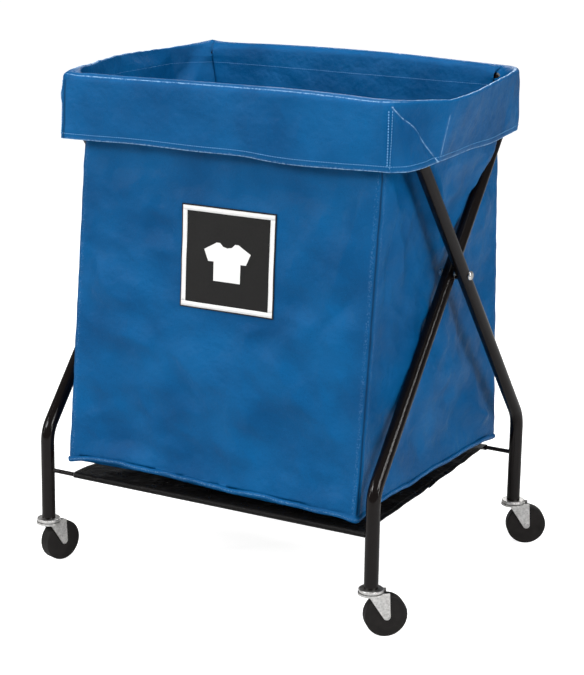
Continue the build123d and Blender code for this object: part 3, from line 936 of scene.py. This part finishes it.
loose = smooth(corner_gap / 55.0)[None] * smooth((all_z - 205.0) / 60.0)[:, None]
calm = 1.0 - 0.75 * smooth((all_z - NECK_Z + 40.0) / 50.0)[:, None]
drift = (1.9 * drift + 13.0 * big - 10.0 * medium + 6.0 * crushed - 2.0) * loose * calm
# The cloth is flat under the label, and calm where it meets a leg.
LABEL_X, LABEL_Z = -9.5, -4.0  # the label sits a little left of and below its CAD stand-in
LABEL_CALM = 30.0
label_away = np.maximum(
    np.maximum(label_low[0] + LABEL_X - walls[..., 0], walls[..., 0] - label_high[0] - LABEL_X),
    np.maximum(label_low[2] + LABEL_Z - walls[..., 2], walls[..., 2] - label_high[2] - LABEL_Z),
)
on_front_side = (side_of == "front")[None]
steady = 1.0 - 0.85 * on_front_side * (1.0 - smooth(label_away / LABEL_CALM))
leg_gap = np.abs((walls[..., 2] - pivot_z) / leg_rise - np.abs(walls[..., 1]))
above = smooth((walls[..., 2] - pivot_z) / 40.0) * (np.abs(walls[..., 0]) > 280.0)
steady = steady * (1.0 - 0.8 * above * np.exp(-((leg_gap / 30.0) ** 2)))
drift = drift * steady
# The corner seams stand a little proud and the stitched groove lies beside them.
seam = 1.6 * np.exp(-((corner_gap / 9.0) ** 2)) - 3.2 * np.exp(-((corner_gap / 2.6) ** 2))
drift += seam[None] * calm
drift += 1.2 * field(spots, 34.0, 8.0, 0.5, 2).reshape(len(all_z), columns) * (1 - loose) * calm
walls = walls + wall_out * drift[..., None]

# How far the bottom edge is lifted off the floor's level, as (place along the side, mm).
LIFTS = {
    "front": [(0.0, 13.0), (0.3, 17.0), (0.55, 9.0), (0.8, 7.0), (1.0, 6.0)],
    "right": [(0.0, 6.0), (0.3, 11.0), (1.0, 9.0)],
    "back": [(0.0, 9.0), (0.5, 13.0), (1.0, 10.0)],
    "left": [(0.0, 10.0), (0.5, 12.0), (1.0, 13.0)],
}
edge_lift = np.zeros(columns)
for side, stations in LIFTS.items():
    on = side_of == side
    edge_lift[on] = np.interp(place[on], [q[0] for q in stations], [q[1] for q in stations])
edge_lift = blur(edge_lift[:, None], 20, True)[:, 0]
walls[..., 2] += edge_lift[None] * (1.0 - smooth((all_z - FLOOR_Z) / 150.0))[:, None]

# The rolled bottom edge hangs in a slow wave and droops at the corners.
bottom_wave = field(np.hstack([foot, np.zeros((columns, 1))]), 85.0, 6.0, 0.5, 2)
droop = 7.0 * np.exp(-((corner_gap / 34.0) ** 2))
bottom_z = FLOOR_Z + 9.5 + edge_lift + 5.0 * bottom_wave - droop
bottom_z = np.maximum(bottom_z, FLOOR_Z + 2.0)
edge_out = np.hstack([foot_out, np.zeros((columns, 1))])
base = np.hstack([foot, bottom_z[:, None]]) + edge_out * (drift[0] * 0.5)[:, None]
roll = []
for a in (-150, -110, -70, -30, 10, 50, 90):
    w = math.radians(a)
    sideways = EDGE_R * (math.cos(w) * 0.8 - 0.2)
    roll.append(base + edge_out * sideways + UP * EDGE_R * (math.sin(w) + 0.3))
roll = np.array(roll)
floor_line = roll[0] - edge_out * 5.0
floor_line[:, 2] = FLOOR_Z + 1.0 + edge_lift
SPINE_HALF = 150.0
spine = np.zeros((columns, 3))
spine[:, 0] = np.clip(floor_line[:, 0], -SPINE_HALF, SPINE_HALF)
spine[:, 2] = FLOOR_Z
outwards = np.linspace(0, 1, 26)
floor = np.array([mix(spine, floor_line, t) for t in outwards])
swell = 1.5 * field(floor.reshape(-1, 3), 90.0, 9.0).reshape(floor.shape[:2])
floor[..., 2] += swell * (1.0 - outwards)[:, None]
body = np.concatenate([floor, roll, walls])
body_rows = len(body)
wall_row = len(floor) + len(roll)
# Pale lines along the rolled bottom edge and beside each corner seam, drawn with the wear and painted
# highlight mark.
body_wear_and_highlight = np.zeros((body_rows, columns))
body_wear_and_highlight[len(floor) + 4] = 0.72
# Dark lines down the body's corner seams: painted shade in the grooves, with some dirt.
body_groove_shade_and_dirt = np.zeros((body_rows, columns))
body_groove_shade_and_dirt[wall_row:] = np.exp(-((corner_gap / 3.4) ** 2))[None]
body_wear_and_highlight[wall_row:] = 0.55 * np.exp(-(((corner_gap - 9.0) / 3.0) ** 2))[None]


def simulate_wrinkles(obj, steps):
    """Lets the walls buckle a little under their own slack, held at the top, corners and edge."""
    group = obj.vertex_groups.new(name="held")
    hold = np.zeros((body_rows, columns))
    hold[:wall_row] = 1.0
    hold[-20:] = 1.0
    hold[:, corner_gap < 7.0] = 1.0
    group.add([int(i) for i in np.flatnonzero(hold)], 1.0, "REPLACE")
    cloth = obj.modifiers.new("cloth", "CLOTH")
    s = cloth.settings
    s.quality = 6
    s.mass = 0.35
    s.tension_stiffness = s.compression_stiffness = 40
    s.shear_stiffness = 25
    s.bending_stiffness = 6.0
    s.shrink_min = -0.010
    s.vertex_group_mass = "held"
    s.effector_weights.gravity = 0.25
    cloth.collision_settings.use_collision = False
    cloth.point_cache.frame_start, cloth.point_cache.frame_end = 1, steps
    for f in range(1, steps + 1):
        bpy.context.scene.frame_set(f)
    shape = obj.evaluated_get(bpy.context.evaluated_depsgraph_get()).data
    co = np.zeros(len(shape.vertices) * 3, np.float32)
    shape.vertices.foreach_get("co", co)
    obj.modifiers.remove(cloth)
    obj.vertex_groups.clear()
    bpy.context.scene.frame_set(1)
    return co.reshape(-1, 3) / MM


MOST_DRIFT = 14.0
trial = make_mesh("bag_trial", body.reshape(-1, 3), grid_faces(body_rows, columns, True), [])
moved = simulate_wrinkles(trial, 22).reshape(body.shape) - body
moved[wall_row:] *= steady[..., None]
far = np.linalg.norm(moved, axis=2, keepdims=True)
body = body + moved * np.minimum(1.0, MOST_DRIFT / np.maximum(far, 1e-6))
bpy.data.objects.remove(trial)

# The legs and the bolts' ends press the cloth inwards where it would meet them.
high_rows = wall_row + int(np.argmax(all_z > pivot_z - 120.0))
upper = body[high_rows:].reshape(-1, 3)
away = np.tile(np.sign(upper[:, 0]), (3, 1)).T * np.array([1.0, 0.0, 0.0])
axis_x = np.where(upper[:, 0] * upper[:, 1] > 0, near_x, far_x)
beyond = np.abs(upper[:, 0]) > axis_x
inwards = -wall_out[high_rows - wall_row :].reshape(-1, 3)
away = np.where(beyond[:, None], away, inwards)
press = clear_of_tubes(upper, away, FABRIC_GAP).reshape(-1, columns)
press = np.maximum(press, 0.8 * blur(press.T, 2, True).T)
body[high_rows:] += away.reshape(-1, columns, 3) * np.minimum(press, 26.0)[..., None]
bolt_gap = np.hypot(body[..., 1], body[..., 2] - pivot_z)
pocket = bolt_low[0] - 1.0 + 14.0 * smooth((bolt_gap - 14.0) / 40.0)
near_bolt = bolt_gap < 54.0
body[..., 0] = np.where(near_bolt, np.clip(body[..., 0], -pocket, pocket), body[..., 0])
body_normal = grid_normals(body, True)

body_thread = Thread()
top_row = body_rows - 3
body_thread.line(body[top_row], -body_normal[top_row], radius=0.25, lift=0.2)
faces = grid_faces(body_rows, columns, True)
looks = [bag_vinyl, bag_thread]
bag_body = stitched_mesh("bag_body", body, faces, body_thread, looks, body_wear_and_highlight, body_groove_shade_and_dirt)
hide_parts("laundry_bag")

# ---- the label, lying on the front wall
front_columns = np.arange(corner_at["fl"], corner_at["fr"])
front_x = body[wall_row:, front_columns, 0]
front_y = body[wall_row:, front_columns, 1]
front_z = body[wall_row:, front_columns, 2]


def on_front(x, z, lift):
    """The point on the front wall at x and z, lift mm proud of it."""
    row = int(np.clip(np.searchsorted(front_z.mean(1), z) - 1, 0, len(front_z) - 2))
    low, high = front_z[row].mean(), front_z[row + 1].mean()
    t = (z - low) / (high - low)
    y_low, y_high = [np.interp(x, front_x[r], front_y[r]) for r in (row, row + 1)]
    return np.array([x, mix(y_low, y_high, t) - lift, z])


label_parts = {"verts": [], "faces": [], "mat": []}


def label_sheet(x0, x1, z0, z1, lift, thick, material_index, pitch=5.0):
    """A thin printed rectangle that follows the wall, with its own edges."""
    nx, nz = max(2, int((x1 - x0) / pitch) + 1), max(2, int((z1 - z0) / pitch) + 1)
    start = len(label_parts["verts"])
    grid = [[on_front(x, z, lift) for x in np.linspace(x0, x1, nx)] for z in np.linspace(z1, z0, nz)]
    for layer in (0.0, thick):
        for line in grid:
            for p in line:
                label_parts["verts"].append(p + np.array([0, layer, 0]))
    size = nx * nz
    top = grid_faces(nz, nx, False, start=start)
    back = [tuple(i + size for i in reversed(f)) for f in top]
    rim = [start + k for k in range(nx)]
    rim += [start + r * nx + nx - 1 for r in range(1, nz)]
    rim += [start + (nz - 1) * nx + k for k in range(nx - 2, -1, -1)]
    rim += [start + r * nx for r in range(nz - 2, 0, -1)]
    edges = [(a, b, b + size, a + size) for a, b in zip(rim, rim[1:] + rim[:1])]
    new = top + back + edges
    label_parts["faces"] += new
    label_parts["mat"] += [material_index] * len(new)


lx0, lx1 = label_low[0] + LABEL_X, label_high[0] + LABEL_X
lz0, lz1 = label_low[2] + LABEL_Z, label_high[2] + LABEL_Z
BORDER_INSET, BORDER = 2.4, 8.6
label_sheet(lx0, lx1, lz0, lz1, 1.6, 0.9, 0)
bx0, bx1, bz0, bz1 = lx0 + BORDER_INSET, lx1 - BORDER_INSET, lz0 + BORDER_INSET, lz1 - BORDER_INSET
for strip in (
    (bx0, bx1, bz1 - BORDER, bz1),
    (bx0, bx1, bz0, bz0 + BORDER),
    (bx0, bx0 + BORDER, bz0 + BORDER, bz1 - BORDER),
    (bx1 - BORDER, bx1, bz0 + BORDER, bz1 - BORDER),
):
    label_sheet(*strip, 2.2, 0.5, 1)

# A plain T-shirt pictogram takes the place of any print. These are the heights of its corners.
SHIRT_HEM, CUFF_FOOT, ARMPIT, CUFF_TOP, COLLAR_FOOT, COLLAR_BEND, SHOULDER = -38, -4, 0, 16, 22, 24, 30
centre_x, centre_z = (lx0 + lx1) / 2, (lz0 + lz1) / 2
corner_levels = {CUFF_FOOT, ARMPIT, CUFF_TOP, COLLAR_FOOT, COLLAR_BEND}
levels = sorted(corner_levels | set(np.linspace(SHIRT_HEM, SHOULDER, 24)))


def shirt_width(z):
    """Inner and outer half width of the pictogram at height z."""
    inner = float(np.interp(z, [COLLAR_FOOT, COLLAR_BEND, SHOULDER], [0.0, 9.0, 15.0]))
    if z >= CUFF_FOOT:
        return inner, float(np.interp(z, [CUFF_FOOT, CUFF_TOP, SHOULDER], [38.0, 47.0, 22.0]))
    return inner, 27.0


SHIRT_STRIPS = 6
for sign in (-1.0, 1.0):
    for z_low, z_high in zip(levels[:-1], levels[1:]):
        if z_high - z_low < 0.01:
            continue
        low = shirt_width(z_low + 0.01)
        high = shirt_width(z_high - 0.01)
        for k in range(SHIRT_STRIPS):
            left, right = k / SHIRT_STRIPS, (k + 1) / SHIRT_STRIPS
            i = len(label_parts["verts"])
            turns = ((low, left, z_low), (low, right, z_low), (high, right, z_high), (high, left, z_high))
            for width, t, z in turns:
                spot = on_front(centre_x + sign * mix(width[0], width[1], t), centre_z + z, 2.25)
                label_parts["verts"].append(spot)
            around = (i, i + 1, i + 2, i + 3)
            label_parts["faces"].append(around if sign > 0 else around[::-1])
            label_parts["mat"].append(1)
label = make_mesh(
    "bag_label",
    label_parts["verts"],
    label_parts["faces"],
    [label_black, label_white],
    label_parts["mat"],
    vectors={"rest": np.array(label_parts["verts"]) * MM},
)
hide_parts("label_patch")

# ---- the shelf sling, one half to each rod
ROD_R = (rod_high[2] - rod_low[2]) / 2
rod_y = -(rod_low[1] + rod_high[1]) / 2 if rod_low[1] > 0 else (rod_low[1] + rod_high[1]) / 2
rod_z = (rod_low[2] + rod_high[2]) / 2
SLEEVE_R = ROD_R + 1.7
SLEEVE_HEM = 26.0
SLING_SAG = 2.2
SLING_SHIFT = 10.0  # each end lies this far along x from the middle
sling_half = sling_high[0] - SLING_SHIFT


def sling_section():
    """From the edge under the sleeve, round the rod and back over it to the middle, as (y, z)."""
    under = [
        (rod_y + SLEEVE_HEM, rod_z + SLEEVE_R - 2.6),
        (rod_y + SLEEVE_HEM * 0.6, rod_z + SLEEVE_R - 3.4),
        (rod_y + SLEEVE_HEM * 0.35, rod_z - SLEEVE_R * 0.1),
    ]
    around = []
    for a in np.linspace(-60, -270, 16):
        w = math.radians(a)
        around.append((rod_y + SLEEVE_R * math.cos(w), rod_z + SLEEVE_R * math.sin(w)))
    over = []
    for y in np.linspace(rod_y + 6, 0, 48):
        t = 1 - abs(y) / abs(rod_y)
        over.append((y, rod_z + SLEEVE_R - SLING_SAG * smooth(np.array(t * 1.6))))
    return np.array(under + around + over)


def sling_piece(piece):
    section = sling_section()
    cols = 110
    turn = np.array([1.0, 1.0, 1.0]) if piece == "front" else TURN
    u = np.linspace(-1, 1, cols)
    p = np.zeros((len(section), cols, 3))
    for r, (y, z) in enumerate(section):
        p[r, :, 0] = u * sling_half + SLING_SHIFT * (-y / abs(rod_y))
        p[r, :, 1] = y
        p[r, :, 2] = z
    slack = np.array([smooth(np.array((y - rod_y - 8) / 60.0)) for y, _ in section])
    seed = 12.0 if piece == "front" else 13.0
    waves = field(p.reshape(-1, 3), 70.0, seed, 0.5, 2).reshape(p.shape[:2])
    meet = smooth(np.abs(section[:, 1]) / 60.0)
    curl = 1.0 + 1.3 * np.exp(-(((1 - np.abs(u)) * sling_half) / 30.0) ** 2)
    p[..., 2] += 1.5 * waves * (slack * meet)[:, None] * curl[None] - 1.2 * (slack * meet)[:, None]
    p = p * turn
    normal = grid_normals(p, False)
    if normal[-1, :, 2].mean() < 0:
        normal = -normal
    thread = Thread()
    rows_over = np.arange(19, len(section))
    stitch_row = 19 + int(np.argmin(np.abs(section[19:, 1] - (rod_y + 22))))
    thread.line(p[stitch_row], normal[stitch_row], radius=0.45)
    for k in (2, cols - 3):
        thread.line(p[rows_over, k], normal[rows_over, k], radius=0.45)
    # Pale sling edges: edge wear together with painted highlight.
    wear_and_highlight = np.zeros(p.shape[:2])
    wear_and_highlight[:, [0, -1]] = 0.8
    faces = grid_faces(len(section), cols, False)
    looks = [sling_vinyl, sling_thread]
    obj = stitched_mesh("sling_" + piece, p, faces, thread, looks, wear_and_highlight, np.zeros(p.shape[:2]))
    return obj


sling_front = sling_piece("front")
sling_rear = sling_piece("rear")
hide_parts("shelf_sling")

# ---- what moves with what
for piece in (bag_body, label):
    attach(piece, "root")
    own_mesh(piece)
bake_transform(cuff_front)
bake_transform(cuff_rear)
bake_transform(sling_front)
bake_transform(sling_rear)


# ---- camera, floor and light
def aim(azimuth, elevation, roll, distance, target):
    """A camera's matrix, from its bearing and height round the target, in radians and metres."""
    level = math.cos(elevation)
    back = Vector((math.sin(azimuth) * level, -math.cos(azimuth) * level, math.sin(elevation)))
    right = Vector((math.cos(azimuth), math.sin(azimuth), 0.0))
    upward = back.cross(right)
    x = right * math.cos(roll) + upward * math.sin(roll)
    y = upward * math.cos(roll) - right * math.sin(roll)
    place_at = Vector(target) + back * distance
    return Matrix.Translation(place_at) @ Matrix((x, y, back)).transposed().to_4x4()


camera_data = bpy.data.cameras.new("camera")
camera_data.lens = 106.13
camera = bpy.data.objects.new("camera", camera_data)
bpy.context.scene.collection.objects.link(camera)
camera.matrix_world = aim(0.50643, 0.25768, 0.015465, 3.7443, (0.0091, 0.0, 0.42856))
bpy.context.scene.camera = camera

floor_material, floor_tree, floor_shader = new_material("studio_floor")
floor_place = rest_place(floor_tree, False)
cloud = noise_at(floor_tree, floor_place, 0.7, 2.0)
paint(floor_tree, floor_shader, cloud, (0.62, 0.62, 0.62), (0.66, 0.66, 0.66))
floor_shader.inputs["Roughness"].default_value = 0.9
floor_shader.inputs["Emission Color"].default_value = (1.0, 1.0, 1.0, 1.0)
to_eye = add_node(floor_tree, "ShaderNodeLightPath")
glow = ramp(floor_tree, to_eye.outputs["Is Camera Ray"], 0.0, 1.0, 0.05, 0.86)
floor_tree.links.new(glow, floor_shader.inputs["Emission Strength"])
FLOOR_SIDE = 24.0
floor_mesh = bpy.data.meshes.new("studio_floor")
half = FLOOR_SIDE / 2
floor_corners = [(-half, -half, 0), (half, -half, 0), (half, half, 0), (-half, half, 0)]
floor_mesh.from_pydata(floor_corners, [], [(0, 1, 2, 3)])
floor_mesh.materials.append(floor_material)
studio_floor = bpy.data.objects.new("studio_floor", floor_mesh)
bpy.context.scene.collection.objects.link(studio_floor)

world = bpy.data.worlds.new("studio")
world.use_nodes = True
world_tree = world.node_tree
backdrop = world_tree.nodes["Background"]
backdrop.inputs["Color"].default_value = (1.0, 1.0, 1.0, 1.0)
seen = world_tree.nodes.new("ShaderNodeLightPath")
brightness = ramp(world_tree, seen.outputs["Is Camera Ray"], 0.0, 1.0, 0.22, 1.0)
world_tree.links.new(brightness, backdrop.inputs["Strength"])
bpy.context.scene.world = world
bpy.context.scene.view_settings.view_transform = "Standard"


def area_light(name, where, target, size, power):
    data = bpy.data.lights.new(name, "AREA")
    data.shape = "RECTANGLE"
    data.size, data.size_y = size
    data.energy = power
    obj = bpy.data.objects.new(name, data)
    bpy.context.scene.collection.objects.link(obj)
    obj.location = where
    obj.rotation_euler = (Vector(target) - Vector(where)).to_track_quat("-Z", "Y").to_euler()


area_light("overhead", (0.0, -0.5, 4.2), (0, 0, 0), (2.6, 2.2), 120.0)
area_light("front_left", (-1.9, -3.6, 2.7), (0, 0, 0.5), (1.1, 1.1), 92.0)
area_light("left_strip", (-2.6, -2.3, 1.7), (0, 0, 0.5), (0.12, 2.4), 26.0)
area_light("right_soft", (3.4, -1.5, 2.3), (0, 0, 0.5), (0.9, 1.4), 62.0)
area_light("right_strip", (3.0, -0.5, 1.4), (0, 0, 0.5), (0.10, 2.2), 26.0)
area_light("back_strip", (-1.2, 3.2, 2.4), (0, 0, 0.8), (1.4, 0.2), 30.0)
